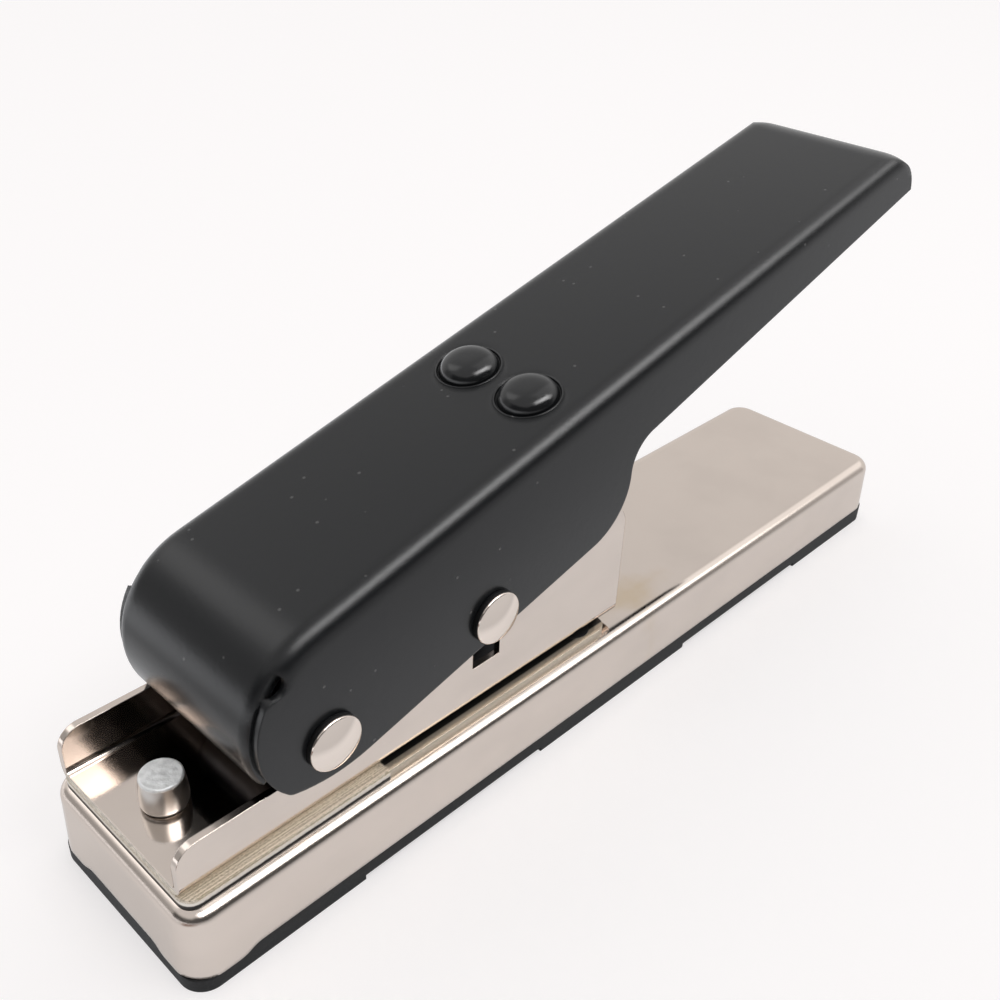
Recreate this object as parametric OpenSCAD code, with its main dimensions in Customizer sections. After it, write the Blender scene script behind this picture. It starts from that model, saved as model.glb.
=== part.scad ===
// Guitar pick punch. A lever turns on a pivot pin at the front of a folded channel.
// Its drive pin pushes a pick-shaped punch through a card that lies in a slit on the die plate,
// and the cut pick drops into the hollow base, which a rubber sole closes.
// Millimetres, +Z up, origin on the table under the middle of the base, tray end at -X.

/* [Base pan] */
// Length of the pan at its rolled edge
base_len = 180; // [170:1:220]
// Width of the pan at its rolled edge
base_wid = 37.4; // [36.8:0.1:44]
// Height of the pan's flat top above the table
base_h = 15; // [13:0.5:24]
// Sheet thickness of the pan
pan_sheet = 1.2; // [0.8:0.1:1.5]
// Radius of the pan's upright corners, outside
pan_corner_r = 4.5; // [4:0.5:8]
// How far the skirt's lowest edge stands out from the rolled edge, each side
pan_flare = 0.35; // [0:0.05:0.6]
// Radius of the rolled edge round the pan's top, outside
pan_rim_r = 2.2; // [1.8:0.1:3]
// Height of the skirt's edge above the table along the sides
skirt_lift = 3.5; // [3:0.1:4]
// Extra length of the skirt at its two front corners
ear_drop = 1; // [0.5:0.1:1.3]
// Length of the longer skirt at a corner, from the end or side of the pan
ear_len = 7; // [6:0.5:10]
// Length of the curve between the two skirt levels
ear_run = 4; // [3:0.5:5]

/* [Sole] */
// Inset of the sole's edge from the skirt's outline
sole_inset = 0.1; // [0.1:0.1:0.8]
// Radius of the sole's corners
sole_corner_r = 4; // [3:0.5:8]
// Height of the hollows between the feet
foot_recess = 0.9; // [0.5:0.1:1]
// Length of the front foot and of the rear foot
end_foot_len = 30; // [20:1:40]
// Length of the middle foot
mid_foot_len = 41; // [20:1:50]
// Thickness of the sole's upstanding rim
sole_rim_t = 2; // [1:0.1:3]
// Height of the rim above the skirt's lowest edge
sole_rim_h = 5; // [3:0.5:6]

/* [Die plate] */
// Thickness of the die plate
die_t = 1.9; // [1.5:0.1:3]
// Distance from the pan's side to the die plate's side
die_inset = 1.85; // [1.5:0.05:2.4]
// Distance from the pan's front to the die plate's and the channel's front edge
front_step = 1.4; // [0.8:0.1:4]
// Radius of the die plate's corners
die_corner_r = 2.5; // [2:0.5:4]
// Length of the die plate under the channel's heel
die_heel = 1.7; // [1:0.1:4]

/* [Channel frame] */
// Sheet thickness of the channel, also the height of the card slit
frame_sheet = 1.2; // [1:0.1:1.6]
// Distance from the pan's side to the channel's side
frame_inset = 3.15; // [2.9:0.05:3.5]
// Outside radius of the channel's bottom bends
frame_bend_r = 2.2; // [1.8:0.1:2.8]
// Length of the tray floor in front of the card slit
tray_len = 35.6; // [34:0.1:40]
// Length of the card slit
slit_len = 49.4; // [47:0.1:60]
// Length of the channel behind the slit
heel_len = 5.1; // [5:0.1:10]
// Height of the tray's side walls above the pan
tray_wall_h = 10.7; // [8:0.1:11]
// Height of the channel's walls above the pan
wall_h = 25.5; // [25:0.1:28]
// Distance from the channel's front to where the walls rise
wall_rise = 19.1; // [18.5:0.1:20.5]
// Radius of the tray walls' front corners
tray_corner_r = 3.5; // [1:0.5:5]
// Radius of the walls' upper corners
wall_corner_r = 4; // [2:0.5:6]

/* [Lever] */
// Sheet thickness of the lever
lever_sheet = 1.2; // [1:0.1:1.4]
// Gap between a lever flange and the channel wall beside it
side_gap = 0.2; // [0.1:0.05:0.4]
// Distance from the channel's front to the pivot
pivot_back = 25.1; // [24.6:0.1:26]
// Height of the pivot above the pan
pivot_h = 15.4; // [15.2:0.1:16.5]
// Slope of the raised lever's top, degrees
lever_tilt = 14.5; // [14:0.1:15.5]
// Angle from the raised lever to the pressed lever, degrees
press_angle = 13.5; // [10:0.1:13.5]
// Distance from the pivot to the tail's end, along the lever
lever_len = 152; // [130:0.5:156]
// Distance from the pivot up to the lever's top
lever_top = 19.7; // [19.5:0.1:21]
// Distance from the pivot down to the flange's straight edge
flange_low = 7.5; // [7:0.1:8]
// Outside radius of the bends along the lever's top
bend_r = 3; // [2:0.25:4]
// Radius of the tail's two corners, seen from above
tail_corner_r = 11; // [9:0.5:13]
// Radius of the bend across the tail's end, outside
tail_roll_r = 8; // [5:0.5:8.5]
// Outside radius of the rolled nose
nose_r = 15.4; // [15.2:0.1:16]
// Distance from the pivot forward to the nose
nose_reach = 11.8; // [11.6:0.1:12.5]
// Radius of the rounded flange edge under the pivot
lobe_r = 25; // [20:1:30]
// Distance along the lever from the pivot to where that edge becomes straight
lobe_end = 5; // [3:0.5:8]
// Radius of the flange's front corner
lobe_corner_r = 2.5; // [1:0.5:4]
// Distance along the lever from the pivot to the end of the straight edge
belly_end = 55; // [53:1:70]
// Radius of the flange's rear lower corner
belly_r = 10.9; // [8:0.1:13]
// Radius of the hollow curve between the deep flange and the tail
throat_r = 6.8; // [4:0.1:9]
// Depth of the tail's flanges at their root
tail_root_depth = 13.7; // [11:0.1:15]
// Depth of the tail's flanges and lip at the end
tail_end_depth = 8.9; // [7:0.1:11]
// Angle round the nose at which flange and tongue part, from the lever's direction, degrees
relief_angle = 120; // [115:1:130]
// Angle round the nose to the round notch in the flange's front edge, degrees
notch_angle = 125; // [123:1:127]
// Diameter of that notch
notch_d = 3.6; // [3:0.1:4]
// How far the flange's front edge stands behind the rolled nose
flange_back = 1; // [0.5:0.1:1.2]
// Width of the seam between tongue and flange
seam = 0.15; // [0.1:0.05:0.4]
// Angle round the nose at which the tongue ends, degrees
tongue_end = 194; // [185:1:195]

/* [Pins] */
// Diameter of the pivot pin and of the drive pin
pin_d = 5; // [4.5:0.1:5.2]
// Diameter of the domed heads
head_d = 8.8; // [8:0.1:9.5]
// Height of a head's straight rim
head_rim = 0.5; // [0.3:0.1:0.6]
// Height of a head with its dome
head_h = 1.6; // [1.2:0.1:1.7]
// Distance from the pivot to the drive pin along the lever
drive_u = 31.9; // [31:0.1:33]
// Distance from the pivot down to the drive pin
drive_drop = 3.3; // [3:0.1:3.5]
// Width of the slots in the channel walls
slot_w = 6; // [5.9:0.1:7]
// Height of the slots' lower edge above the pan
slot_low = 10; // [9.5:0.1:10]
// Outside diameter of the pivot sleeve
sleeve_d = 8; // [7:0.1:9]

/* [Pick and punch] */
// Length of the pick
pick_len = 30.5; // [28:0.1:31]
// Guide plate left beside the pick on each side
guide_wall = 1.35; // [1.2:0.05:2.5]
// Radius of the pick's tip
tip_r = 4; // [2:0.1:5]
// Radius of the pick's two shoulders
shoulder_r = 7; // [5:0.1:8]
// Radius of the pick's long sides
flank_r = 40; // [32:1:60]
// Radius of the pick's broad end
crown_r = 28; // [24:1:40]
// Height of the resting punch's edge above the slit
punch_lift = 1.5; // [1:0.1:2.5]
// Depth of the hollow in the punch's face, inside its cutting edge
hollow_depth = 0.6; // [0.3:0.1:0.8]
// Width of the cutting edge round that hollow
edge_land = 2.5; // [1.5:0.1:3]
// Punch above the drive pin's centre
punch_over_pin = 5; // [4.5:0.1:6]
// Thickness of the guide plate
guide_t = 4.5; // [3:0.1:5]

/* [Springs] */
// Outside diameter of a return spring
spring_od = 8; // [7:0.1:9]
// Wire diameter of a return spring
wire_d = 0.9; // [0.7:0.1:1]
// Turns of a return spring
spring_turns = 9; // [6:1:10]
// Distance between the two springs and between the two studs
stud_pitch = 13.1; // [12:0.1:15]
// Distance from the pivot to the studs along the lever
stud_u = 55; // [54:0.5:60]
// Diameter of a stud's button
stud_d = 9.6; // [8:0.1:10]
// Height of a stud's button above the lever
stud_h = 1.7; // [1:0.1:2]
// Diameter of the shallow ring sunk round a stud
ring_d = 11; // [10.4:0.1:11.6]
// Depth of that ring
ring_depth = 0.4; // [0.2:0.1:0.6]

/* [Rivets] */
// Diameter of the tray post
post_d = 6.6; // [5:0.1:7]
// Height of the tray post above the tray floor
post_h = 4.4; // [3:0.1:6]
// Distance from the channel's front to the tray post
post_back = 7.6; // [6:0.1:9]
// Shank diameter of the front and die rivets
rivet_d = 3.5; // [2.5:0.1:4]
// Shank diameter of the heel rivets
heel_rivet_d = 2.2; // [1.8:0.1:2.4]
// Height of a rivet's head or upset end
rivet_head_h = 1.2; // [0.8:0.1:1.5]

/* [Clearances] */
// Radial clearance where a pin turns or the punch slides
run_clear = 0.05; // [0.03:0.01:0.08]
// Radial clearance of a rivet, peg or pin that is held fast
fit_clear = 0.02; // [0.01:0.01:0.05]
// Gap between parts that must not rub
free_gap = 0.3; // [0.2:0.05:0.35]

/* [Hidden] */
$fn = 48;

// Levels above the table, and the slope of the pan's sides
pan_top = base_h;
skirt_low = skirt_lift - ear_drop;
pan_slope = pan_flare / (pan_top - pan_rim_r - skirt_low);
die_top = pan_top + die_t;
floor_top = die_top + frame_sheet;
guide_top = floor_top + guide_t;

// Places along the base
front_x = -base_len / 2 + front_step;
slit_x0 = front_x + tray_len;
slit_x1 = slit_x0 + slit_len;
frame_x1 = slit_x1 + heel_len;
die_x1 = slit_x1 + die_heel;
pivot = [front_x + pivot_back, pan_top + pivot_h];
post_x = front_x + post_back;
front_rivet_x = slit_x0 - rivet_d - free_gap;
heel_rivet_x = slit_x1 + heel_len / 2;
die_rivet_x = slit_x1 - rivet_d - free_gap;

// Widths
die_wid = base_wid - 2 * die_inset;
frame_wid = base_wid - 2 * frame_inset;
frame_in = frame_wid - 2 * frame_sheet;
pick_wid = frame_in - 2 * guide_wall;
frame_bend_in = frame_bend_r - frame_sheet;
lever_wid = frame_wid + 2 * (side_gap + lever_sheet);
tab_wid = frame_in - 2 * (frame_bend_in + free_gap / 2);
front_rivet_y = tab_wid / 2 - rivet_d - free_gap;
heel_rivet_y = tab_wid / 2 - 2 * heel_rivet_d;
die_rivet_y = die_wid / 2 - rivet_d;

// The drive pin's place on the lever, and its places in the raised and the pressed pose
drive = [drive_u, -drive_drop];
drive_up = swing(drive, lever_tilt);
drive_down = swing(drive, lever_tilt - press_angle);
slot_x = (drive_up[0] + pivot[0] + norm(drive)) / 2;
slot_z0 = pan_top + slot_low;
slot_z1 = drive_up[1] + pin_d / 2 + free_gap;
punch_travel = drive_up[1] - drive_down[1];

// The springs stand midway between the studs' raised and pressed places
stud_root = lever_top - lever_sheet;
spring_x = (swing([stud_u, stud_root], lever_tilt)[0]
    + swing([stud_u, stud_root], lever_tilt - press_angle)[0]) / 2;
stud_shank_d = 5;
stud_tail_d = 7;
stud_tail_h = 0.8;
spring_z0 = guide_top;
spring_z1 = swing([stud_u - stud_tail_d / 2, stud_root - stud_tail_h], lever_tilt)[1] - free_gap;
peg_d = spring_od - 2 * wire_d - 2 * free_gap;
peg_h = 3;
peg_shank_d = 3;

// Centres of the arcs in the lever's side outline
nose_c = [nose_r - nose_reach, lever_top - nose_r];
lobe_c = [lobe_end, lobe_r - flange_low];
flange_r = nose_r - flange_back;
lobe_corner_c = meet(nose_c, flange_r - lobe_corner_r, lobe_c, lobe_r - lobe_corner_r, 1);
belly_c = [belly_end, belly_r - flange_low];
tail_root = lever_top - tail_root_depth;
tail_end = lever_top - tail_end_depth;
throat_v = tail_root - throat_r;
// The tail's rounded end is wider than the lever by this on each side, clear of the side bends
tail_spare = tail_roll_r - bend_r + 1.2;
throat_c = [belly_c[0] + sqrt(pow(belly_r + throat_r, 2) - pow(belly_c[1] - throat_v, 2)), throat_v];

// Arcs of the pick's outline: tip at +X, its length centred on the slots
pick_tip = [pick_len / 2 - tip_r, 0];
shoulder_y = pick_wid / 2 - shoulder_r;
crown_back = sqrt(pow(crown_r - shoulder_r, 2) - pow(shoulder_y, 2));
crown_c = [crown_r - pick_len / 2, 0];
shoulder_x = crown_c[0] - crown_back;
flank_c = meet(pick_tip, flank_r - tip_r, [shoulder_x, shoulder_y], flank_r - shoulder_r, 1);

// A point of the lever's own plane, at a slope of the lever, in the plane of the base
function swing(p, slope) = pivot
    + [p[0] * cos(slope) - p[1] * sin(slope), p[0] * sin(slope) + p[1] * cos(slope)];
// One of the two points at distance ra from a and rb from b
function meet(a, ra, b, rb, side) =
    let (d = norm(b - a), e = (b - a) / d, k = (ra * ra - rb * rb + d * d) / (2 * d))
    a + k * e + side * sqrt(ra * ra - k * k) * [-e[1], e[0]];
// A point on the other side of the middle plane
function flip(p) = [p[0], -p[1]];
// The direction from c to p, degrees
function heading(c, p) = atan2(p[1] - c[1], p[0] - c[0]);
// Points of an arc after its start, in n equal steps
function arc(c, r, from, to, n) =
    [for (i = [1:n]) let (a = from + (to - from) * i / n) c + r * [cos(a), sin(a)]];

// A side outline drawn in X and Z, carried across the width from y0 to y1
module across(y0, y1) {
    translate([0, y1, 0]) rotate([90, 0, 0]) linear_extrude(y1 - y0) children();
}

// A cross-section drawn in Y and Z, carried along the length from x0 to x1
module along(x0, x1) {
    translate([x0, 0, 0]) rotate([90, 0, 90]) linear_extrude(x1 - x0) children();
}

// What a rounded corner leaves of a square one: dir points from the arc's centre to the corner
module corner_rest(corner, r, dir) {
    translate(corner - r * dir) difference() {
        translate([min(0, dir[0]) * r, min(0, dir[1]) * r]) square(r);
        circle(r);
    }
}

// A rectangle with rounded corners, centred
module round_rect(l, w, r) {
    square([l - 2 * r, w], center = true);
    square([l, w - 2 * r], center = true);
    for (sx = [-1, 1], sy = [-1, 1]) translate([sx * (l / 2 - r), sy * (w / 2 - r)]) circle(r);
}

// Half section of a lid's edge: from the inside at 0 to the outside at w, its top corner rounded,
// its side below that running outwards with the slope
module edge_section(w, z0, z1, r, slope = 0) {
    difference() {
        polygon([[0, z0], [w + slope * (z1 - r - z0), z0], [w, z1 - r], [w, z1], [0, z1]]);
        corner_rest([w, z1], r, [1, 1]);
    }
}

// Section across a lid, both top corners rounded
module lid_section(w, z0, z1, r, slope = 0) {
    edge_section(w / 2, z0, z1, r, slope);
    mirror([1, 0]) edge_section(w / 2, z0, z1, r, slope);
}

// The rounded end of a lid at x1, for a lid that runs along X
module lid_end(x1, w, z0, z1, corner_r, r, slope = 0) {
    across(-w / 2 + corner_r, w / 2 - corner_r)
        translate([x1 - corner_r, 0]) edge_section(corner_r, z0, z1, r, slope);
    for (s = [0, 1]) mirror([0, s, 0]) translate([x1 - corner_r, w / 2 - corner_r, 0])
        rotate_extrude(angle = 90) edge_section(corner_r, z0, z1, r, slope);
}

// A domed button on z = 0: a straight rim, then a dome up to h
module button(d, rim, h) {
    rise = h - rim;
    dome_r = (d * d / 4 + rise * rise) / (2 * rise);
    rotate_extrude() intersection() {
        square([d / 2, h]);
        translate([0, h - dome_r]) circle(dome_r, $fn = 96);
    }
}

// The pick's outline, let out by c all round: tip, flank, shoulder and half crown, then mirrored
module pick_outline(c) {
    sh = [shoulder_x, shoulder_y];
    a1 = heading(flank_c, pick_tip);
    a2 = heading(flank_c, sh);
    a3 = heading(crown_c, sh);
    half = concat(
        arc(pick_tip, tip_r + c, 0, a1, 8),
        arc(flank_c, flank_r + c, a1, a2, 8),
        arc(sh, shoulder_r + c, a2, a3, 8),
        arc(crown_c, crown_r + c, a3, 180, 6));
    polygon(concat([pick_tip + [tip_r + c, 0]], half,
        [for (i = [len(half) - 2:-1:0]) flip(half[i])]));
}

module pick_prism(c, z0, z1) {
    translate([slot_x, 0, z0]) linear_extrude(z1 - z0) pick_outline(c);
}

// Both copies of what stands at plus and minus y
module pair(x, y) {
    for (s = [-1, 1]) translate([x, s * y, 0]) children();
}

// Half outline of the room under the raised skirt, ending in an S of two arcs
module skirt_room(half, z0) {
    r = (ear_run * ear_run + ear_drop * ear_drop) / (4 * ear_drop);
    start = half - ear_run;
    translate([0, z0]) square([start, skirt_lift - z0]);
    intersection() {
        translate([start, z0]) square([ear_run / 2, skirt_lift - z0]);
        translate([start, skirt_lift - r]) circle(r);
    }
    difference() {
        translate([start + ear_run / 2, z0]) square([ear_run / 2, skirt_lift - ear_drop / 2 - z0]);
        translate([half, skirt_low + r]) circle(r);
    }
}

// The room under the skirt between its front corners and the rear end, made smaller by gap at the top
module skirt_rooms(z0, gap) {
    translate([0, 0, -gap]) {
        mirror([1, 0, 0]) across(-base_wid, base_wid) skirt_room(base_len / 2 - ear_len, z0 + gap);
        across(-base_wid, base_wid) translate([0, z0 + gap]) square([base_len, skirt_lift - z0 - gap]);
        for (s = [0, 1]) mirror([0, s, 0])
            along(-base_len, 0) skirt_room(base_wid / 2 - ear_len, z0 + gap);
    }
}

module pan_block(inset, z0) {
    l = base_len - 2 * inset;
    w = base_wid - 2 * inset;
    corner = pan_corner_r - inset;
    edge = pan_rim_r - inset;
    top = pan_top - inset;
    along(-l / 2 + corner, l / 2 - corner) lid_section(w, z0, top, edge, pan_slope);
    for (s = [0, 1]) mirror([s, 0, 0]) lid_end(l / 2, w, z0, top, corner, edge, pan_slope);
}

module base_pan() {
    color("#cdc3bb") difference() {
        pan_block(0, skirt_low);
        pan_block(pan_sheet, -1);
        skirt_rooms(-1, 0);
        pick_prism(1, 0, pan_top + 1);
        translate([post_x, 0, 0]) cylinder(h = pan_top + 1, d = post_d + 2 * fit_clear);
        pair(front_rivet_x, front_rivet_y) cylinder(h = pan_top + 1, d = rivet_d + 2 * fit_clear);
        pair(die_rivet_x, die_rivet_y) cylinder(h = pan_top + 1, d = rivet_d + 2 * fit_clear);
    }
}

// A foot's hollow between two feet, across the whole sole
module foot_hollow(x0, x1) {
    translate([x0, -base_wid, -1]) cube([x1 - x0, 2 * base_wid, 1 + foot_recess]);
}

module rubber_sole() {
    l = base_len + 2 * (pan_flare - sole_inset);
    w = base_wid + 2 * (pan_flare - sole_inset);
    corner = sole_corner_r;
    rim_inset = pan_sheet + free_gap / 2;
    rim_l = base_len - 2 * rim_inset;
    rim_w = base_wid - 2 * rim_inset;
    rim_r = pan_corner_r - rim_inset;
    top = skirt_low - free_gap / 4;
    color("#2d3030") difference() {
        union() {
            linear_extrude(top) round_rect(l, w, corner);
            intersection() {
                linear_extrude(skirt_lift) round_rect(l, w, corner);
                skirt_rooms(0, free_gap / 4);
            }
            linear_extrude(skirt_low + sole_rim_h) round_rect(rim_l, rim_w, rim_r);
        }
        translate([0, 0, top]) linear_extrude(base_h)
            round_rect(rim_l - 2 * sole_rim_t, rim_w - 2 * sole_rim_t, rim_r - sole_rim_t);
        for (s = [0, 1]) mirror([s, 0, 0])
            foot_hollow(mid_foot_len / 2, base_len / 2 - end_foot_len);
    }
}

module die_plate() {
    l = die_x1 - front_x;
    color("#b7a58f") difference() {
        translate([front_x + l / 2, 0, pan_top]) linear_extrude(die_t)
            round_rect(l, die_wid, die_corner_r);
        pick_prism(run_clear, 0, base_h * 2);
        translate([post_x, 0, 0]) cylinder(h = base_h * 2, d = post_d + 2 * fit_clear);
        pair(front_rivet_x, front_rivet_y) cylinder(h = base_h * 2, d = rivet_d + 2 * fit_clear);
        pair(die_rivet_x, die_rivet_y) countersunk(fit_clear, base_h * 2);
    }
}

// A flush rivet's shank and cone, from z = 0 up to above, let out by c
module countersunk(c, above) {
    cone_h = die_t / 2;
    cylinder(h = die_top, d = rivet_d + 2 * c);
    translate([0, 0, die_top - cone_h])
        cylinder(h = cone_h, d1 = rivet_d + 2 * c, d2 = rivet_d + 2 * cone_h + 2 * c);
    translate([0, 0, die_top]) cylinder(h = above, d = rivet_d + 2 * cone_h + 2 * c);
}

// Side outline of the channel's walls: low along the tray, high past the pivot
module wall_outline() {
    rise_x = front_x + wall_rise;
    tray_z = pan_top + tray_wall_h;
    wall_z = pan_top + wall_h;
    difference() {
        union() {
            translate([front_x, die_top]) square([frame_x1 - front_x, tray_z - die_top]);
            translate([rise_x, die_top]) square([frame_x1 - rise_x, wall_z - die_top]);
            corner_rest([rise_x, tray_z], wall_corner_r / 2, [1, -1]);
        }
        corner_rest([front_x, tray_z], tray_corner_r, [-1, 1]);
        corner_rest([rise_x, wall_z], wall_corner_r, [-1, 1]);
        corner_rest([frame_x1, wall_z], wall_corner_r, [1, 1]);
    }
}

// Section of the channel's outside or inside: square at the top, bent at the bottom
module channel_section(w, z0, r) {
    mirror([0, 1]) lid_section(w, -pan_top - wall_h, -z0, r);
}

module channel_frame() {
    color("#d3cac4") difference() {
        intersection() {
            along(front_x, frame_x1) channel_section(frame_wid, die_top, frame_bend_r);
            across(-frame_wid, frame_wid) wall_outline();
        }
        along(front_x - 1, frame_x1 + 1) translate([0, 1])
            channel_section(frame_in, floor_top - 1, frame_bend_in);
        translate([slit_x0, -frame_wid, 0]) cube([slit_len, 2 * frame_wid, floor_top]);
        translate([slit_x0, -frame_in / 2, 0]) cube([slit_len, frame_in, floor_top + frame_bend_r]);
        translate([slot_x - slot_w / 2, -frame_wid, slot_z0])
            cube([slot_w, 2 * frame_wid, slot_z1 - slot_z0]);
        translate([pivot[0], frame_wid, pivot[1]]) rotate([90, 0, 0])
            cylinder(h = 2 * frame_wid, d = pin_d + 2 * fit_clear);
        translate([post_x, 0, 0]) cylinder(h = floor_top + 1, d = post_d + 2 * fit_clear);
        pair(front_rivet_x, front_rivet_y) cylinder(h = floor_top + 1, d = rivet_d + 2 * fit_clear);
        pair(heel_rivet_x, heel_rivet_y) cylinder(h = floor_top + 1, d = heel_rivet_d + 2 * fit_clear);
    }
}

module guide_plate() {
    wid = frame_in - free_gap / 2;
    tab_x0 = front_rivet_x - rivet_d;
    tab_x1 = frame_x1 - free_gap;
    color("#a9a49e") difference() {
        translate([0, 0, floor_top]) linear_extrude(guide_t) union() {
            translate([slit_x0 + free_gap, -wid / 2]) square([slit_len - 2 * free_gap, wid]);
            translate([tab_x0, -tab_wid / 2]) square([tab_x1 - tab_x0, tab_wid]);
        }
        pick_prism(run_clear, 0, guide_top + 1);
        pair(front_rivet_x, front_rivet_y) cylinder(h = guide_top + 1, d = rivet_d + 2 * fit_clear);
        pair(heel_rivet_x, heel_rivet_y) cylinder(h = guide_top + 1, d = heel_rivet_d + 2 * fit_clear);
        pair(spring_x, stud_pitch / 2) cylinder(h = guide_top + 1, d = peg_shank_d + 2 * fit_clear);
    }
}

// The drive pin's hole is longer than it is high, because the pin swings and the punch slides
module punch() {
    z0 = floor_top + punch_lift;
    hole_d = pin_d + 4 * run_clear;
    hole_play = pivot[0] + norm(drive) - drive_up[0] + free_gap;
    color("#9a9a9c") difference() {
        pick_prism(0, z0, drive_up[1] + punch_over_pin);
        pick_prism(-edge_land, z0 - 1, z0 + hollow_depth);
        across(-pick_wid, pick_wid) translate([slot_x, drive_up[1]]) {
            square([hole_play, hole_d], center = true);
            for (s = [-1, 1]) translate([s * hole_play / 2, 0]) circle(d = hole_d);
        }
    }
}

// Puts what is drawn in the lever's own plane, from its pivot, at the raised slope
module on_lever() {
    translate([pivot[0], 0, pivot[1]]) rotate([0, -lever_tilt, 0]) children();
}

// Side outline of the whole lever from its pivot: nose, lobe, straight edge, throat and tail
module lever_outline() {
    a0 = heading(nose_c, lobe_corner_c);
    a1 = heading(lobe_c, lobe_corner_c);
    step = (a1 - a0) / 8;
    bend = heading(belly_c, throat_c);
    round = arc(lobe_corner_c, lobe_corner_r, a0 - step, a1, 9);
    out = arc(lobe_corner_c, 3 * lobe_corner_r, a0, a1, 2)[0];
    difference() {
        union() {
            polygon(concat([[nose_c[0], lever_top], [nose_c[0], -flange_low], [belly_end, -flange_low]],
                arc(belly_c, belly_r, -90, bend, 16), arc(throat_c, throat_r, bend + 180, 90, 16),
                [[lever_len, tail_end], [lever_len, lever_top]]));
            intersection() {
                translate(nose_c) circle(flange_r);
                translate([-2 * nose_r, -2 * nose_r]) square([2 * nose_r + lobe_end, 4 * nose_r]);
            }
        }
        difference() {
            translate([-2 * nose_r, -2 * nose_r]) square([2 * nose_r + lobe_end, 2 * nose_r]);
            translate(lobe_c) circle(lobe_r);
        }
        polygon(concat([1.5 * round[0] - 0.5 * round[1]], [for (i = [1:7]) round[i]],
            [1.5 * round[8] - 0.5 * round[7], out]));
    }
}

// The lever's top, bends and tail as a block, inset by a sheet for the hollow under it
module lever_block(inset, z0) {
    w = lever_wid - 2 * inset;
    end = lever_len - inset;
    corner = tail_corner_r - inset;
    top = lever_top - inset;
    intersection() {
        along(nose_c[0], lever_len + tail_spare) lid_section(w, z0, top, bend_r - inset);
        union() {
            along(nose_c[0], end - corner) translate([-w, z0]) square([2 * w, top - z0]);
            lid_end(end, w + 2 * tail_spare, z0, top, corner, tail_roll_r - inset);
        }
    }
}

// The rolled nose: full width down to where flange and tongue part, then the tongue alone
module nose_drum(inset) {
    w = lever_wid - 2 * inset;
    translate([nose_c[0], 0, nose_c[1]]) rotate([90, 0, 0]) rotate([0, 0, 90])
        rotate_extrude(angle = tongue_end - 90) rotate(-90)
        lid_section(w, 0, nose_r - inset, bend_r - inset);
}

module nose_roll() {
    half = lever_wid / 2 - lever_sheet - seam;
    difference() {
        nose_drum(0);
        nose_drum(lever_sheet);
        for (s = [0, 1]) mirror([0, s, 0]) across(half, lever_wid)
            nose_wedge(relief_angle, tongue_end + 30);
    }
}

// A wedge from the nose's centre, between two angles under 180 degrees apart
module nose_wedge(a0, a1) {
    reach = 4 * nose_r;
    mid = (a0 + a1) / 2;
    translate(nose_c) polygon([[0, 0], reach * [cos(a0), sin(a0)],
        reach * [cos(mid), sin(mid)], reach * [cos(a1), sin(a1)]]);
}

// One flange in front of the nose's centre, below the place where it parts from the tongue
module nose_flange() {
    across(lever_wid / 2 - lever_sheet, lever_wid / 2) difference() {
        intersection() {
            lever_outline();
            translate([-3 * nose_r, -3 * nose_r]) square([3 * nose_r + nose_c[0], 6 * nose_r]);
        }
        nose_wedge(80, relief_angle);
    }
}

module lever() {
    notch_at = nose_c + (flange_r - 0.1) * [cos(notch_angle), sin(notch_angle)];
    notch_y = lever_wid / 2 - lever_sheet - seam / 2;
    color("#3a3c3d") on_lever() difference() {
        union() {
            difference() {
                intersection() {
                    lever_block(0, -flange_low - 1);
                    across(-lever_wid, lever_wid) lever_outline();
                }
                lever_block(lever_sheet, -flange_low - 2);
            }
            nose_roll();
            for (s = [0, 1]) mirror([0, s, 0]) nose_flange();
        }
        for (s = [0, 1]) mirror([0, s, 0]) across(notch_y, lever_wid)
            translate(notch_at) circle(d = notch_d);
        pin_bore([0, 0], run_clear);
        pin_bore(drive, fit_clear);
        pair(stud_u, stud_pitch / 2) {
            translate([0, 0, lever_top - ring_depth]) cylinder(h = bend_r, d = ring_d);
            cylinder(h = 2 * lever_top, d = stud_shank_d + 2 * fit_clear);
        }
    }
}

// A hole across the lever, at a place in its own plane
module pin_bore(at, c) {
    translate([at[0], lever_wid, at[1]]) rotate([90, 0, 0])
        cylinder(h = 2 * lever_wid, d = pin_d + 2 * c);
}

// A pin across the part: domed head on the near side, plain end under the cap on the far side
pin_head_y = lever_wid / 2 + fit_clear;
pin_end_y = pin_head_y + head_h / 2;
module cross_pin() {
    translate([0, -pin_head_y, 0]) rotate([90, 0, 0]) button(head_d, head_rim, head_h);
    translate([0, pin_end_y, 0]) rotate([90, 0, 0]) cylinder(h = pin_end_y + pin_head_y, d = pin_d);
}

module cross_cap() {
    difference() {
        translate([0, pin_head_y, 0]) rotate([-90, 0, 0]) button(head_d, head_rim, head_h);
        translate([0, pin_end_y + fit_clear, 0]) rotate([90, 0, 0])
            cylinder(h = pin_end_y, d = pin_d + 2 * fit_clear);
    }
}

module at_pivot() {
    translate([pivot[0], 0, pivot[1]]) children();
}

module at_drive() {
    translate([drive_up[0], 0, drive_up[1]]) children();
}

module pivot_pin() {
    color("#d8d0c8") at_pivot() cross_pin();
}

module pivot_cap() {
    color("#d8d0c8") at_pivot() cross_cap();
}

module drive_pin() {
    color("#d8d0c8") at_drive() cross_pin();
}

module drive_cap() {
    color("#d8d0c8") at_drive() cross_cap();
}

module pivot_sleeve() {
    half = (frame_in - free_gap / 2) / 2;
    color("#b9b4ae") at_pivot() translate([0, half, 0]) rotate([90, 0, 0]) difference() {
        cylinder(h = 2 * half, d = sleeve_d);
        translate([0, 0, -1]) cylinder(h = 2 * half + 2, d = pin_d + 2 * run_clear);
    }
}

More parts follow.
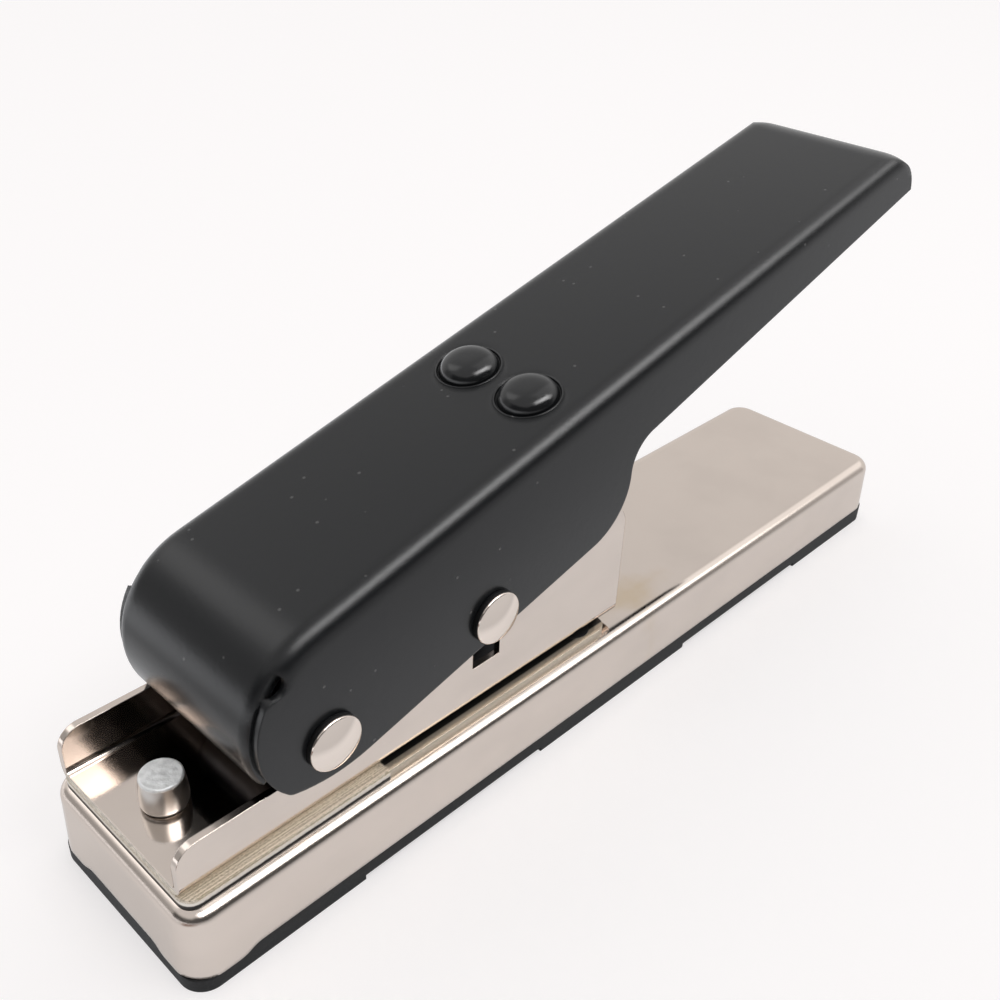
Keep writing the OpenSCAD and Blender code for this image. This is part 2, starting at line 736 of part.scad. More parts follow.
// A stud: button in its ring, shank through the lever's top, upset end under it
module stud(side) {
    seat = lever_top - ring_depth;
    color("#333536") on_lever() translate([stud_u, side * stud_pitch / 2, 0]) {
        translate([0, 0, seat]) button(stud_d, stud_h / 2 + ring_depth, stud_h + ring_depth);
        translate([0, 0, stud_root - stud_tail_h]) cylinder(h = seat - stud_root + stud_tail_h, d = stud_shank_d);
        translate([0, 0, stud_root - stud_tail_h]) cylinder(h = stud_tail_h, d = stud_tail_d);
    }
}

module stud_left() {
    stud(1);
}

module stud_right() {
    stud(-1);
}

// Centre line of a spring, 8 points a turn, and the directions across its wire at a point
coil_r = (spring_od - wire_d) / 2;
coil_z0 = spring_z0 + wire_d / 2 + fit_clear;
coil_rise = spring_z1 - wire_d / 2 - coil_z0;
coil_n = 8 * spring_turns;
wire_sides = 6;
function coil_point(i) =
    [coil_r * cos(45 * i), coil_r * sin(45 * i), coil_z0 + coil_rise * i / coil_n];
function coil_out(i) = [cos(45 * i), sin(45 * i), 0];
function coil_run(i) =
    let (t = [-sin(45 * i), cos(45 * i), coil_rise / (2 * PI * coil_r * spring_turns)]) t / norm(t);
function wire_ring(i) = let (up = cross(coil_out(i), coil_run(i)))
    [for (k = [0:wire_sides - 1]) coil_point(i)
        + wire_d / 2 * (cos(360 * k / wire_sides) * coil_out(i) + sin(360 * k / wire_sides) * up)];

// Least gap between two turns of the spring, measured on its points
coil_gap = min([for (i = [0:coil_n - 1], j = [i + 6:1:min(i + 10, coil_n)])
    norm(coil_point(i) - coil_point(j))]) - wire_d;
echo(least_gap_between_spring_turns = coil_gap);

module spring(side) {
    points = [for (i = [0:coil_n]) each wire_ring(i)];
    last = coil_n * wire_sides;
    faces = concat(
        [for (i = [0:coil_n - 1], k = [0:wire_sides - 1]) each
            let (a = i * wire_sides + k, b = i * wire_sides + (k + 1) % wire_sides)
            [[a, b, a + wire_sides], [b, b + wire_sides, a + wire_sides]]],
        [for (k = [1:wire_sides - 2]) [0, k + 1, k]],
        [for (k = [1:wire_sides - 2]) [last, last + k, last + k + 1]]);
    color("#8f8f92") translate([spring_x, side * stud_pitch / 2, 0]) polyhedron(points, faces);
}

module return_spring_left() {
    spring(1);
}

module return_spring_right() {
    spring(-1);
}

module spring_peg(side) {
    color("#a8a4a0") translate([spring_x, side * stud_pitch / 2, 0]) {
        translate([0, 0, guide_top]) cylinder(h = peg_h, d = peg_d);
        translate([0, 0, floor_top]) cylinder(h = guide_t, d = peg_shank_d);
    }
}

module spring_peg_left() {
    spring_peg(1);
}

module spring_peg_right() {
    spring_peg(-1);
}

// An upset end under the pan
module rivet_tail(d) {
    translate([0, 0, pan_top - pan_sheet - rivet_head_h]) cylinder(h = rivet_head_h, d = d);
}

module tray_post() {
    color("#b4b8b9") translate([post_x, 0, 0]) {
        translate([0, 0, pan_top - pan_sheet])
            cylinder(h = floor_top + post_h - pan_top + pan_sheet, d = post_d);
        rivet_tail(post_d + 2 * rivet_head_h);
    }
}

module front_rivets() {
    tail_z = pan_top - pan_sheet;
    color("#b9b4ae") pair(front_rivet_x, front_rivet_y) {
        translate([0, 0, tail_z]) cylinder(h = guide_top - tail_z, d = rivet_d);
        translate([0, 0, guide_top]) button(rivet_d + 2 * rivet_head_h, head_rim, rivet_head_h);
        rivet_tail(rivet_d + 2 * rivet_head_h);
    }
}

module heel_rivets() {
    color("#b9b4ae") pair(heel_rivet_x, heel_rivet_y) {
        translate([0, 0, die_top]) cylinder(h = guide_top - die_top, d = heel_rivet_d);
        translate([0, 0, guide_top]) button(heel_rivet_d + rivet_head_h, head_rim, rivet_head_h);
    }
}

module die_rivets() {
    color("#b9b4ae") pair(die_rivet_x, die_rivet_y) {
        intersection() {
            countersunk(0, 0);
            translate([0, 0, pan_top - pan_sheet]) cylinder(h = die_t + pan_sheet, d = 3 * rivet_d);
        }
        rivet_tail(rivet_d + 2 * rivet_head_h);
    }
}

base_pan();
rubber_sole();
die_plate();
channel_frame();
guide_plate();
punch();
lever();
pivot_pin();
pivot_cap();
drive_pin();
drive_cap();
pivot_sleeve();
stud_left();
stud_right();
return_spring_left();
return_spring_right();
spring_peg_left();
spring_peg_right();
tray_post();
front_rivets();
heel_rivets();
die_rivets();
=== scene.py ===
"""Looks of the guitar pick punch.

Its finishes, its wound springs and turned fasteners, a pale floor, soft light and the camera.
"""
import logging
import math
from dataclasses import dataclass
from enum import Enum
from typing import Dict, Optional, Sequence, Tuple, Union

import bpy
import numpy as np
from mathutils import Matrix, Vector


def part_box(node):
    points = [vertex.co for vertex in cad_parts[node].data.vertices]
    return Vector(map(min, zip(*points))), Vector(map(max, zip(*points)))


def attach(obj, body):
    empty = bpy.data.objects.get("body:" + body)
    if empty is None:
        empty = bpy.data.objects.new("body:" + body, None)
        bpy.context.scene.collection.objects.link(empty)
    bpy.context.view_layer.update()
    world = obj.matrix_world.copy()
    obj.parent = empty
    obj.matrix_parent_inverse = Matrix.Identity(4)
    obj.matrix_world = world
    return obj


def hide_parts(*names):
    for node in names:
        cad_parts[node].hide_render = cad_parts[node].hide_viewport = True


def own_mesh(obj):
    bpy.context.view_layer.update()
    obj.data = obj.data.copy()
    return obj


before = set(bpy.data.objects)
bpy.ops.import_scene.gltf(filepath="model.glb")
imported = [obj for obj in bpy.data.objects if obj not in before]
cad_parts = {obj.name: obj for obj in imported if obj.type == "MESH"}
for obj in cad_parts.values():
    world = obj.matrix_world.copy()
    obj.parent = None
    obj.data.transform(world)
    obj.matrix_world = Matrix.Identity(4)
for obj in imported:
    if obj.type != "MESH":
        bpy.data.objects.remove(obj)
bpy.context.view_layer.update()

LOG = logging.getLogger("pick_punch")
MM = 0.001
# The lever's pivot, its slope at rest, and how far its top lies from the pivot.
PIVOT = sum((Vector(corner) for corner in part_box("pivot_pin")), Vector()) / 2
LEVER_LEAN = math.radians(14.5)
LEVER_TOP = 19.7 * MM
# Where the card slit starts, the die plate's highest corner, and the rim outside its painted shade.
SLIT_AT = -53.0 * MM
DIE_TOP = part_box("die_plate")[1]
DIE_RIM = 1.3 * MM
# Factors that stretch a pattern along a piece's axes.
EVEN = (1.0, 1.0, 1.0)
LENGTHWISE = (0.5, 1.0, 1.0)
BEVEL_SAMPLES = 6
# The share of its radius that a turned end leaves for its last flat face.
POLE = 0.02

Colour = Tuple[float, float, float]
Fade = Tuple[float, float]
Value = Union["Wire", float, int, Sequence[float]]
Sockets = Dict[Union[str, int], Value]


class Body(Enum):
    """The rigid bodies that new pieces ride on."""

    BASE = "base"
    LEVER = "lever"


class Slot(Enum):
    """The record's material slots."""

    SPRING = "spring_steel"
    RIVET = "rivet_zinc"
    COAT = "black_coat"
    PINS = "nickel_pins"


class Wire:
    """A shader socket that can stand in an arithmetic expression."""

    def __init__(self, graph: "Graph", socket: bpy.types.NodeSocket) -> None:
        """Keeps the socket and the graph that it belongs to."""
        self.graph = graph
        self.socket = socket

    def _math(self, operation: str, *terms: Value) -> "Wire":
        """Adds one Math node over the terms."""
        return self.graph.node("ShaderNodeMath", {"operation": operation}, dict(enumerate(terms)))

    def __add__(self, other: Value) -> "Wire":
        """Sum."""
        return self._math("ADD", self, other)

    __radd__ = __add__

    def __sub__(self, other: Value) -> "Wire":
        """Difference."""
        return self._math("SUBTRACT", self, other)

    def __rsub__(self, other: Value) -> "Wire":
        """Difference with this value taken away."""
        return self._math("SUBTRACT", other, self)

    def __mul__(self, other: Value) -> "Wire":
        """Product."""
        return self._math("MULTIPLY", self, other)

    __rmul__ = __mul__

    def __abs__(self) -> "Wire":
        """Size without sign."""
        return self._math("ABSOLUTE", self)

    def larger(self, other: Value) -> "Wire":
        """The larger of two values."""
        return self._math("MAXIMUM", self, other)

    def above(self, level: float) -> "Wire":
        """1 where the value is over the level, else 0."""
        return self._math("GREATER_THAN", self, level)

    def step(self, low: float, high: float) -> "Wire":
        """Rises smoothly from 0 at low to 1 at high.

        Args:
            low: Value at which the result is 0.
            high: Value at which the result is 1; it may be below low, and the step then falls.

        Returns:
            The smooth step as a wire.
        """
        flip = low > high
        ends: Sockets = {"Value": self, "From Min": min(low, high), "From Max": max(low, high)}
        ends.update({"To Min": 1.0 if flip else 0.0, "To Max": 0.0 if flip else 1.0})
        return self.graph.node("ShaderNodeMapRange", {"interpolation_type": "SMOOTHSTEP"}, ends)


class Graph:
    """A node tree with one method that makes every node."""

    def __init__(self, tree: bpy.types.NodeTree) -> None:
        """Empties the tree."""
        self.tree = tree
        tree.nodes.clear()

    def node(
        self,
        kind: str,
        settings: Optional[Dict[str, object]] = None,
        values: Optional[Sockets] = None,
        out: Union[str, int] = 0,
    ) -> Wire:
        """Adds one node.

        Args:
            kind: The node's type.
            settings: Its own properties, set first.
            values: Socket name or number to a number, colour or wire.
            out: The output that is handed on.

        Returns:
            That output as a wire, or the first input of a node that has no output.
        """
        made = self.tree.nodes.new(kind)
        for name, setting in (settings or {}).items():
            setattr(made, name, setting)
        for name, value in (values or {}).items():
            if isinstance(value, Wire):
                self.tree.links.new(value.socket, made.inputs[name])
            else:
                made.inputs[name].default_value = value
        return Wire(self, made.outputs[out] if len(made.outputs) else made.inputs[0])

    def place(self, stretch: Sequence[float] = EVEN) -> Wire:
        """The point on the piece in metres.

        Args:
            stretch: Factors along the piece's axes.

        Returns:
            The stretched point as a wire.
        """
        here = self.node("ShaderNodeTexCoord", out="Object")
        if tuple(stretch) == EVEN:
            return here
        return self.node("ShaderNodeMapping", {}, {"Vector": here, "Scale": tuple(stretch)})

    def axis(self, name: str) -> Wire:
        """One coordinate of the point on the piece, in metres."""
        return self.node("ShaderNodeSeparateXYZ", {}, {0: self.place()}, out=name)

    def noise(self, scale: float, detail: float = 3.0, stretch: Sequence[float] = EVEN) -> Wire:
        """Cloudy noise from 0 to 1, with scale in waves a metre."""
        values: Sockets = {"Vector": self.place(stretch), "Scale": scale, "Detail": detail}
        return self.node("ShaderNodeTexNoise", {}, values)

    def mix(self, share: Value, one: Value, two: Value) -> Wire:
        """Blends two colours; share 0 gives one and 1 gives two."""
        values: Sockets = {0: share, 6: rgba(one), 7: rgba(two)}
        return self.node("ShaderNodeMix", {"data_type": "RGBA"}, values, out=2)

    def rounded(self, radius: float) -> Wire:
        """The surface's normal as if its sharp edges were rounded."""
        return self.node("ShaderNodeBevel", {"samples": BEVEL_SAMPLES}, {"Radius": radius})

    def bump(self, height: Wire, depth: float, normal: Optional[Wire] = None) -> Wire:
        """Relief on a surface.

        Args:
            height: The relief, from 0 to 1.
            depth: Its depth in metres.
            normal: The normal under it, if not the surface's own.

        Returns:
            The normal with the relief.
        """
        values: Sockets = {"Height": height, "Distance": depth, "Strength": 1.0}
        if normal is not None:
            values["Normal"] = normal
        return self.node("ShaderNodeBump", {}, values)


def rgba(colour: Value) -> Value:
    """A colour with its alpha, or a wire as it is."""
    return colour if isinstance(colour, Wire) else (*colour, 1.0)


def shade(colour: Colour, share: float) -> Colour:
    """A colour with each channel times the share."""
    return tuple(share * channel for channel in colour)


@dataclass(frozen=True)
class Patch:
    """A patch with soft edges, as smooth steps along named axes."""

    fades: Tuple[Tuple[str, float, float], ...]

    def mask(self, axes: Dict[str, Wire]) -> Wire:
        """Multiplies the steps.

        Args:
            axes: The axes that the fades name.

        Returns:
            1 inside the patch, falling to 0 outside.
        """
        steps = [axes[axis].step(low, high) for axis, low, high in self.fades]
        return math.prod(steps[1:], start=steps[0])


class Finish:
    """A surface finish that makes its material once."""

    name: str

    def paint(self, graph: Graph) -> Sockets:
        """Gives the shader's socket values, and is filled in by each finish."""
        raise NotImplementedError

    def material(self) -> bpy.types.Material:
        """Makes the material, or returns it if it is there.

        Returns:
            The finish as a Blender material.
        """
        made = bpy.data.materials.get(self.name)
        if made is None:
            made = bpy.data.materials.new(self.name)
            made.use_nodes = True
            graph = Graph(made.node_tree)
            shader = graph.node("ShaderNodeBsdfPrincipled", {}, self.paint(graph))
            graph.node("ShaderNodeOutputMaterial", {}, {"Surface": shader})
        return made

    def dress(self, piece: bpy.types.Object) -> None:
        """Puts the finish on every face of a piece.

        Args:
            piece: The piece, with or without material slots.
        """
        if not piece.data.materials:
            piece.data.materials.append(self.material())
        for number in range(len(piece.data.materials)):
            piece.data.materials[number] = self.material()


@dataclass(frozen=True)
class Nickel(Finish):
    """Bright nickel plating on pressed sheet: warm, nearly a mirror, with faint smears."""

    name: str
    colour: Colour = (0.64, 0.565, 0.51)
    rough: float = 0.085
    smear: float = 0.05
    smear_waves: float = 60.0
    smear_stretch: Tuple[float, float, float] = (1.0, 1.0, 2.0)
    smear_fade: Fade = (0.35, 0.75)
    smear_tint: float = 0.95
    ripple: float = 0.012 * MM
    ripple_waves: float = 90.0
    edge: float = 0.25 * MM
    graze: Colour = (0.84, 0.82, 0.80)

    def paint(self, graph: Graph) -> Sockets:
        """Smears change the roughness, and a slow ripple bends the reflections a little.

        Args:
            graph: The material's nodes.

        Returns:
            Socket name to value.
        """
        smears = graph.noise(self.smear_waves, 4.0, self.smear_stretch).step(*self.smear_fade)
        ripple = graph.noise(self.ripple_waves, 2.0)
        return {
            "Base Color": graph.mix(smears, self.colour, shade(self.colour, self.smear_tint)),
            "Metallic": 1.0,
            "Roughness": smears * self.smear + self.rough,
            "Specular Tint": rgba(self.graze),
            "Normal": graph.bump(ripple, self.ripple, graph.rounded(self.edge)),
        }


@dataclass(frozen=True)
class ReflectionPatchNickel(Nickel):
    """Nickel with a painted reflection: a warm darker patch by the fold's rear end on the pan."""

    reflection_tone: Colour = (0.58, 0.475, 0.35)
    reflection_at: Tuple[float, float] = (0.0, 0.0)
    reach: float = 13.0 * MM
    core: float = 0.25
    squeeze: float = 0.6
    fray: float = 8.0 * MM
    fray_waves: float = 220.0
    strength: float = 0.85

    def paint(self, graph: Graph) -> Sockets:
        """The painted reflection fades with the distance from its middle, and noise frays it.

        Args:
            graph: The material's nodes.

        Returns:
            Socket name to value.
        """
        values = super().paint(graph)
        along = (graph.axis("X") - self.reflection_at[0]) * self.squeeze
        across = graph.axis("Y") - self.reflection_at[1]
        apart = abs(along) + abs(across) + graph.noise(self.fray_waves) * self.fray
        # Painted reflection: the pan's colour turns warm and darker in a patch by the fold's rear end.
        painted_reflection = apart.step(self.reach, self.core * self.reach) * self.strength
        values["Base Color"] = graph.mix(painted_reflection, values["Base Color"], self.reflection_tone)
        return values


@dataclass(frozen=True)
class StretchedNickel(Nickel):
    """Nickel over a fold whose outer bend at the foot, in front of the slit, is golden and grainy."""

    gold: Colour = (0.96, 0.88, 0.76)
    dark_grain: float = 0.68
    foot: float = 0.0
    sheet: float = 1.2 * MM
    full_below: float = 0.8
    slit: float = 0.0
    slit_blur: float = 0.3 * MM
    grain: float = 0.03 * MM
    grain_waves: float = 1500.0
    grain_fade: Fade = (0.35, 0.65)
    matt: float = 0.40
    dull: float = 0.75

    def paint(self, graph: Graph) -> Sockets:
        """The grain shows only below the fold's inside, and stops at the slit.

        Args:
            graph: The material's nodes.

        Returns:
            Socket name to value.
        """
        values = super().paint(graph)
        bend = graph.axis("Z").step(self.foot + self.sheet, self.foot + self.full_below * self.sheet)
        bend = bend * graph.axis("X").step(self.slit + self.slit_blur, self.slit)
        grains = graph.noise(self.grain_waves, 2.0, LENGTHWISE)
        tone = graph.mix(grains.step(*self.grain_fade), shade(self.gold, self.dark_grain), self.gold)
        values["Base Color"] = graph.mix(bend, values["Base Color"], tone)
        values["Roughness"] = values["Roughness"] + bend * self.matt
        values["Metallic"] = 1.0 - bend * self.dull
        values["Normal"] = graph.bump(grains * bend, self.grain, values["Normal"])
        return values


@dataclass(frozen=True)
class HeadNickel(Nickel):
    """Polished heads with a painted shade: the standing edge is near black, matt and not metal."""

    colour: Colour = (0.77, 0.685, 0.62)
    rough: float = 0.06
    smear: float = 0.03
    edge_shade: Colour = (0.008, 0.008, 0.009)
    edge_shade_rough: float = 0.5
    edge_at: float = 18.0 * MM
    edge_blur: float = 0.06 * MM

    def paint(self, graph: Graph) -> Sockets:
        """The shaded edge lies inside a distance from the middle plane.

        Args:
            graph: The material's nodes.

        Returns:
            Socket name to value.
        """
        values = super().paint(graph)
        # Painted shade: the edge that stands off the flange turns near black, as the shadowed side of
        # the head.
        dark = abs(graph.axis("Y")).step(self.edge_at + self.edge_blur, self.edge_at - self.edge_blur)
        values["Base Color"] = graph.mix(dark, values["Base Color"], self.edge_shade)
        values["Metallic"] = 1.0 - dark
        values["Roughness"] = values["Roughness"] + dark * self.edge_shade_rough
        return values


@dataclass(frozen=True)
class PowderCoat(Finish):
    """Satin black powder coat with a fine orange peel and a few dust specks."""

    name: str
    colour: Colour = (0.0100, 0.0108, 0.0122)
    dust: Colour = (0.085, 0.085, 0.085)
    speck_cells: float = 240.0
    speck_fade: Fade = (0.085, 0.035)
    speck_bar: float = 0.15
    rough: float = 0.21
    cloud: float = 0.08
    cloud_waves: float = 35.0
    shine: float = 0.37
    peel: float = 0.016 * MM
    peel_waves: float = 1100.0
    edge: float = 0.35 * MM

    def paint(self, graph: Graph) -> Sockets:
        """Orange peel is fine noise, and the specks sit at scattered cell centres.

        Args:
            graph: The material's nodes.

        Returns:
            Socket name to value.
        """
        peel = graph.noise(self.peel_waves)
        cells: Sockets = {"Vector": graph.place(), "Scale": self.speck_cells}
        near = graph.node("ShaderNodeTexVoronoi", {}, cells, out="Distance").step(*self.speck_fade)
        pick = graph.node("ShaderNodeTexVoronoi", {}, cells, out="Color")
        chosen = graph.node("ShaderNodeSeparateColor", {}, {0: pick}).above(self.speck_bar)
        return {
            "Base Color": graph.mix(near * chosen, self.colour, self.dust),
            "Roughness": graph.noise(self.cloud_waves) * self.cloud + self.rough,
            "Specular IOR Level": self.shine,
            "Normal": graph.bump(peel, self.peel, self.softened(graph)),
        }

    def softened(self, graph: Graph) -> Wire:
        """The surface's normal with its edges rounded."""
        return graph.rounded(self.edge)


@dataclass(frozen=True)
class BentCoat(PowderCoat):
    """Powder coat over a folded sheet whose two bends along a sloping top are wide and soft."""

    bend: float = 1.9 * MM
    lean: float = 0.0
    top: float = 0.0
    deep: float = 5.0 * MM
    fade: float = 1.0 * MM

    def softened(self, graph: Graph) -> Wire:
        """Near the top the edges are rounded by the bend's radius, and further down by the edge's.

        Args:
            graph: The material's nodes.

        Returns:
            The softened normal.
        """
        rise = graph.axis("Z") * math.cos(self.lean) - graph.axis("X") * math.sin(self.lean)
        near = rise.step(self.top - self.deep - self.fade, self.top - self.deep)
        return graph.mix(near, graph.rounded(self.edge), graph.rounded(self.bend))


@dataclass(frozen=True)
class Rubber(Finish):
    """Matt black rubber with fine speckle."""

    name: str
    colour: Colour = (0.0075, 0.0075, 0.008)
    pale: float = 1.9
    speckle_waves: float = 2200.0
    speckle_fade: Fade = (0.45, 0.8)
    relief: float = 0.03 * MM
    rough: float = 0.60
    shine: float = 0.28
    edge: float = 0.4 * MM

    def paint(self, graph: Graph) -> Sockets:
        """Speckle varies the colour and the relief.

        Args:
            graph: The material's nodes.

        Returns:
            Socket name to value.
        """
        speckle = graph.noise(self.speckle_waves, 2.0)
        pale = shade(self.colour, self.pale)
        return {
            "Base Color": graph.mix(speckle.step(*self.speckle_fade), self.colour, pale),
            "Roughness": self.rough,
            "Specular IOR Level": self.shine,
            "Normal": graph.bump(speckle, self.relief, graph.rounded(self.edge)),
        }


@dataclass(frozen=True)
class Steel(Finish):
    """Plain steel with grain along one axis."""

    name: str
    colour: Colour
    rough: float = 0.3
    grain: Tuple[float, float, float] = (0.06, 1.0, 1.0)
    grain_waves: float = 2400.0
    grain_fade: Fade = (0.3, 0.7)
    grain_rough: float = 0.15
    dark: float = 0.78
    depth: float = 0.01 * MM
    edge: float = 0.15 * MM

    def paint(self, graph: Graph) -> Sockets:
        """Stretched noise gives the grain in colour, roughness and relief.

        Args:
            graph: The material's nodes.

        Returns:
            Socket name to value.
        """
        lines = graph.noise(self.grain_waves, 3.0, self.grain)
        dark = shade(self.colour, self.dark)
        return {
            "Base Color": graph.mix(lines.step(*self.grain_fade), dark, self.colour),
            "Metallic": 1.0,
            "Roughness": lines * self.grain_rough + self.rough,
            "Normal": graph.bump(lines, self.depth, graph.rounded(self.edge)),
        }


@dataclass(frozen=True)
class UpsetZinc(Finish):
    """A plated post whose upset end is pale, matt and scaly above a polished side."""

    name: str
    top: float
    end: Colour = (0.97, 0.98, 0.98)
    side: Colour = (0.58, 0.555, 0.53)
    scale_from: Fade = (0.6 * MM, 0.3 * MM)
    mottle_waves: float = 900.0
    mottle_fade: Fade = (0.3, 0.7)
    dark: float = 0.84
    dull: float = 0.5
    side_rough: float = 0.30
    end_rough: float = 0.20
    mottle_rough: float = 0.12
    relief: float = 0.04 * MM

    def paint(self, graph: Graph) -> Sockets:
        """The scale begins just below the end's rim, and slow noise mottles it.

        Args:
            graph: The material's nodes.

        Returns:
            Socket name to value.
        """
        scale = graph.axis("Z").step(self.top - self.scale_from[0], self.top - self.scale_from[1])
        mottle = graph.noise(self.mottle_waves).step(*self.mottle_fade)
        pale = graph.mix(mottle, shade(self.end, self.dark), self.end)
        rough = scale * (mottle * self.mottle_rough + self.end_rough) + self.side_rough
        return {
            "Base Color": graph.mix(scale, self.side, pale),
            "Metallic": 1.0 - scale * self.dull,
            "Roughness": rough,
            "Normal": graph.bump(mottle * scale, self.relief),
        }


@dataclass(frozen=True)
class DieSteel(Finish):
    """A die plate: grainy edges over a bright band, and painted shade on the foot and in the slit."""

    name: str
    edge_at: float
    slit: float
    top: float
    tan: Colour = (0.64, 0.56, 0.455)
    tan_dark: float = 0.74
    gold: Colour = (0.98, 0.885, 0.755)
    gold_dark: Colour = (0.46, 0.385, 0.27)
    band: Colour = (0.86, 0.81, 0.74)
    painted_shade_black: Colour = (0.006, 0.006, 0.006)
    line_waves: float = 3600.0
    line_stretch: Tuple[float, float, float] = (0.006, 1.0, 1.0)
    speck_waves: float = 1700.0
    grit_waves: float = 5200.0
    line_share: float = 0.6
    grit_fade: Fade = (0.36, 0.62)
    fray: float = 0.3 * MM
    edge_blur: float = 0.15 * MM
    slit_blur: float = 0.2 * MM
    band_from: Fade = (0.30 * MM, 0.50 * MM)
    foot_from: Fade = (0.90 * MM, 1.15 * MM)
    metal: float = 0.2
    clean_metal: float = 0.5
    rough: float = 0.45
    line_rough: float = 0.15
    polish: float = 0.2
    relief: float = 0.01 * MM
    edge: float = 0.15 * MM

    def paint(self, graph: Graph) -> Sockets:
        """The slit's painted shade lies behind its start and inside a distance from the middle plane.

        Args:
            graph: The material's nodes.

        Returns:
            Socket name to value.
        """
        lines = graph.noise(self.line_waves, 3.0, self.line_stretch)
        speck = graph.noise(self.speck_waves, 2.0)
        grit = graph.noise(self.grit_waves, 2.0, LENGTHWISE)
        low = graph.axis("Z") + speck * self.fray
        inside = abs(graph.axis("Y")).step(self.edge_at + self.edge_blur, self.edge_at - self.edge_blur)
        behind = graph.axis("X").step(self.slit - self.slit_blur, self.slit + self.slit_blur)
        ahead = 1.0 - behind
        bright = low.step(self.top - self.band_from[0], self.top - self.band_from[1]) * ahead
        # Painted shade: near black on the edge's foot, and inside the rim behind the slit's start.
        foot = low.step(self.top - self.foot_from[0], self.top - self.foot_from[1]) * ahead
        black = (inside * behind).larger(foot)
        pale = graph.mix(behind, self.gold, self.tan)
        dark = graph.mix(behind, self.gold_dark, shade(self.tan, self.tan_dark))
        grain = (lines * self.line_share + grit * (1.0 - self.line_share)).step(*self.grit_fade)
        edge = graph.mix(bright, graph.mix(grain, dark, pale), self.band)
        clean = behind.larger(bright)
        return {
            "Base Color": graph.mix(black, edge, self.painted_shade_black),
            "Metallic": (1.0 - black) * (clean * self.clean_metal + self.metal),
            "Roughness": lines * self.line_rough + self.rough - clean * self.polish,
            "Normal": graph.bump(lines, self.relief, graph.rounded(self.edge)),
        }


TOP_RISE = PIVOT.z * math.cos(LEVER_LEAN) - PIVOT.x * math.sin(LEVER_LEAN) + LEVER_TOP
NICKEL_SHEET = ReflectionPatchNickel("nickel_sheet_bright", edge=1.0 * MM, reflection_at=(9.0 * MM, -12.0 * MM))
NICKEL_FOLD = StretchedNickel("nickel_fold_bright", foot=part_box("channel_frame")[0][2], slit=SLIT_AT)
NICKEL_PINS = Nickel("nickel_pins_polished", colour=(0.69, 0.60, 0.53), rough=0.06, smear=0.03)
BLACK_COAT = BentCoat("black_powder_coat", lean=LEVER_LEAN, top=TOP_RISE)
BLACK_STUD = PowderCoat("black_stud_coat", rough=0.13, shine=0.46)
SOLE_RUBBER = Rubber("sole_rubber")
DIE_STEEL = DieSteel("die_plate_steel", DIE_TOP[1] - DIE_RIM, SLIT_AT, DIE_TOP[2])
TOOL_STEEL = Steel("tool_steel_ground", (0.50, 0.50, 0.51), 0.28)
# Dark steel, far darker than the ground steel, for the inner parts and the die rivets.
DARK_STEEL = Steel("tool_steel_dark", (0.11, 0.11, 0.115), 0.36)
SPRING_WIRE = Steel("spring_wire_drawn", (0.46, 0.46, 0.47), 0.25, EVEN)
RIVET_ZINC = Steel("rivet_zinc_dull", (0.62, 0.65, 0.66), 0.42, EVEN)
DARK_RIVET_STEEL = Steel("die_rivet_dark", (0.05, 0.05, 0.05), 0.40, EVEN)

DRESS: Dict[str, Finish] = {
    "base_pan": NICKEL_SHEET,
    "channel_frame": NICKEL_FOLD,
    "rubber_sole": SOLE_RUBBER,
    "die_plate": DIE_STEEL,
    "guide_plate": DARK_STEEL,
    "punch": DARK_STEEL,
    "pivot_sleeve": DARK_STEEL,
    "spring_peg_left": TOOL_STEEL,
    "spring_peg_right": TOOL_STEEL,
    "lever": BLACK_COAT,
    "pivot_pin": NICKEL_PINS,
    "pivot_cap": NICKEL_PINS,
    "drive_pin": NICKEL_PINS,
    "drive_cap": NICKEL_PINS,
    "front_rivets": RIVET_ZINC,
    "heel_rivets": RIVET_ZINC,
    "die_rivets": DARK_RIVET_STEEL,
}


def ring_mesh(name: str, points: np.ndarray) -> bpy.types.Object:
    """Joins rings of points into a skin and closes both ends.

    Args:
        name: The piece's name.
        points: The rings in order, by ring, place in the ring and coordinate, in metres.

    Returns:
        The new object, linked into the scene.
    """
    count, sides = points.shape[:2]
    row, col = np.meshgrid(np.arange(count - 1), np.arange(sides), indexing="ij")
    here, above = row * sides, (row + 1) * sides
    nxt = (col + 1) % sides
    quads = np.stack([here + col, here + nxt, above + nxt, above + col], -1)
    faces = quads.reshape(-1, 4).tolist()
    faces.append(list(range(sides - 1, -1, -1)))
    faces.append(list(range((count - 1) * sides, count * sides)))
    mesh = bpy.data.meshes.new(name)
    mesh.from_pydata(points.reshape(-1, 3).tolist(), [], faces)
    mesh.shade_smooth()
    mesh.update()
    piece = bpy.data.objects.new(name, mesh)
    bpy.context.scene.collection.objects.link(piece)
    return piece


def tube_mesh(
    name: str, path: np.ndarray, out: np.ndarray, radius: np.ndarray, sides: int
) -> bpy.types.Object:
    """Carries a circle along a path and closes both ends.

    The ring at a path point is the point plus radius times (cos a times the outward direction plus
    sin a times the cross product of the path's direction and the outward direction).

    Args:
        name: The piece's name.
        path: Points of the centre line, one row each, in metres.
        out: A direction across the path at each point.
        radius: The tube's radius at each point.
        sides: Points in a ring.

    Returns:
        The new object, linked into the scene.
    """
    run = np.gradient(path, axis=0)
    run /= np.linalg.norm(run, axis=1, keepdims=True)
    out = out - (out * run).sum(1, keepdims=True) * run
    out /= np.linalg.norm(out, axis=1, keepdims=True)
    side = np.cross(run, out)
    turn = np.linspace(0.0, 2.0 * math.pi, sides, endpoint=False)[None, :, None]
    ring = np.cos(turn) * out[:, None, :] + np.sin(turn) * side[:, None, :]
    return ring_mesh(name, path[:, None, :] + radius[:, None, None] * ring)


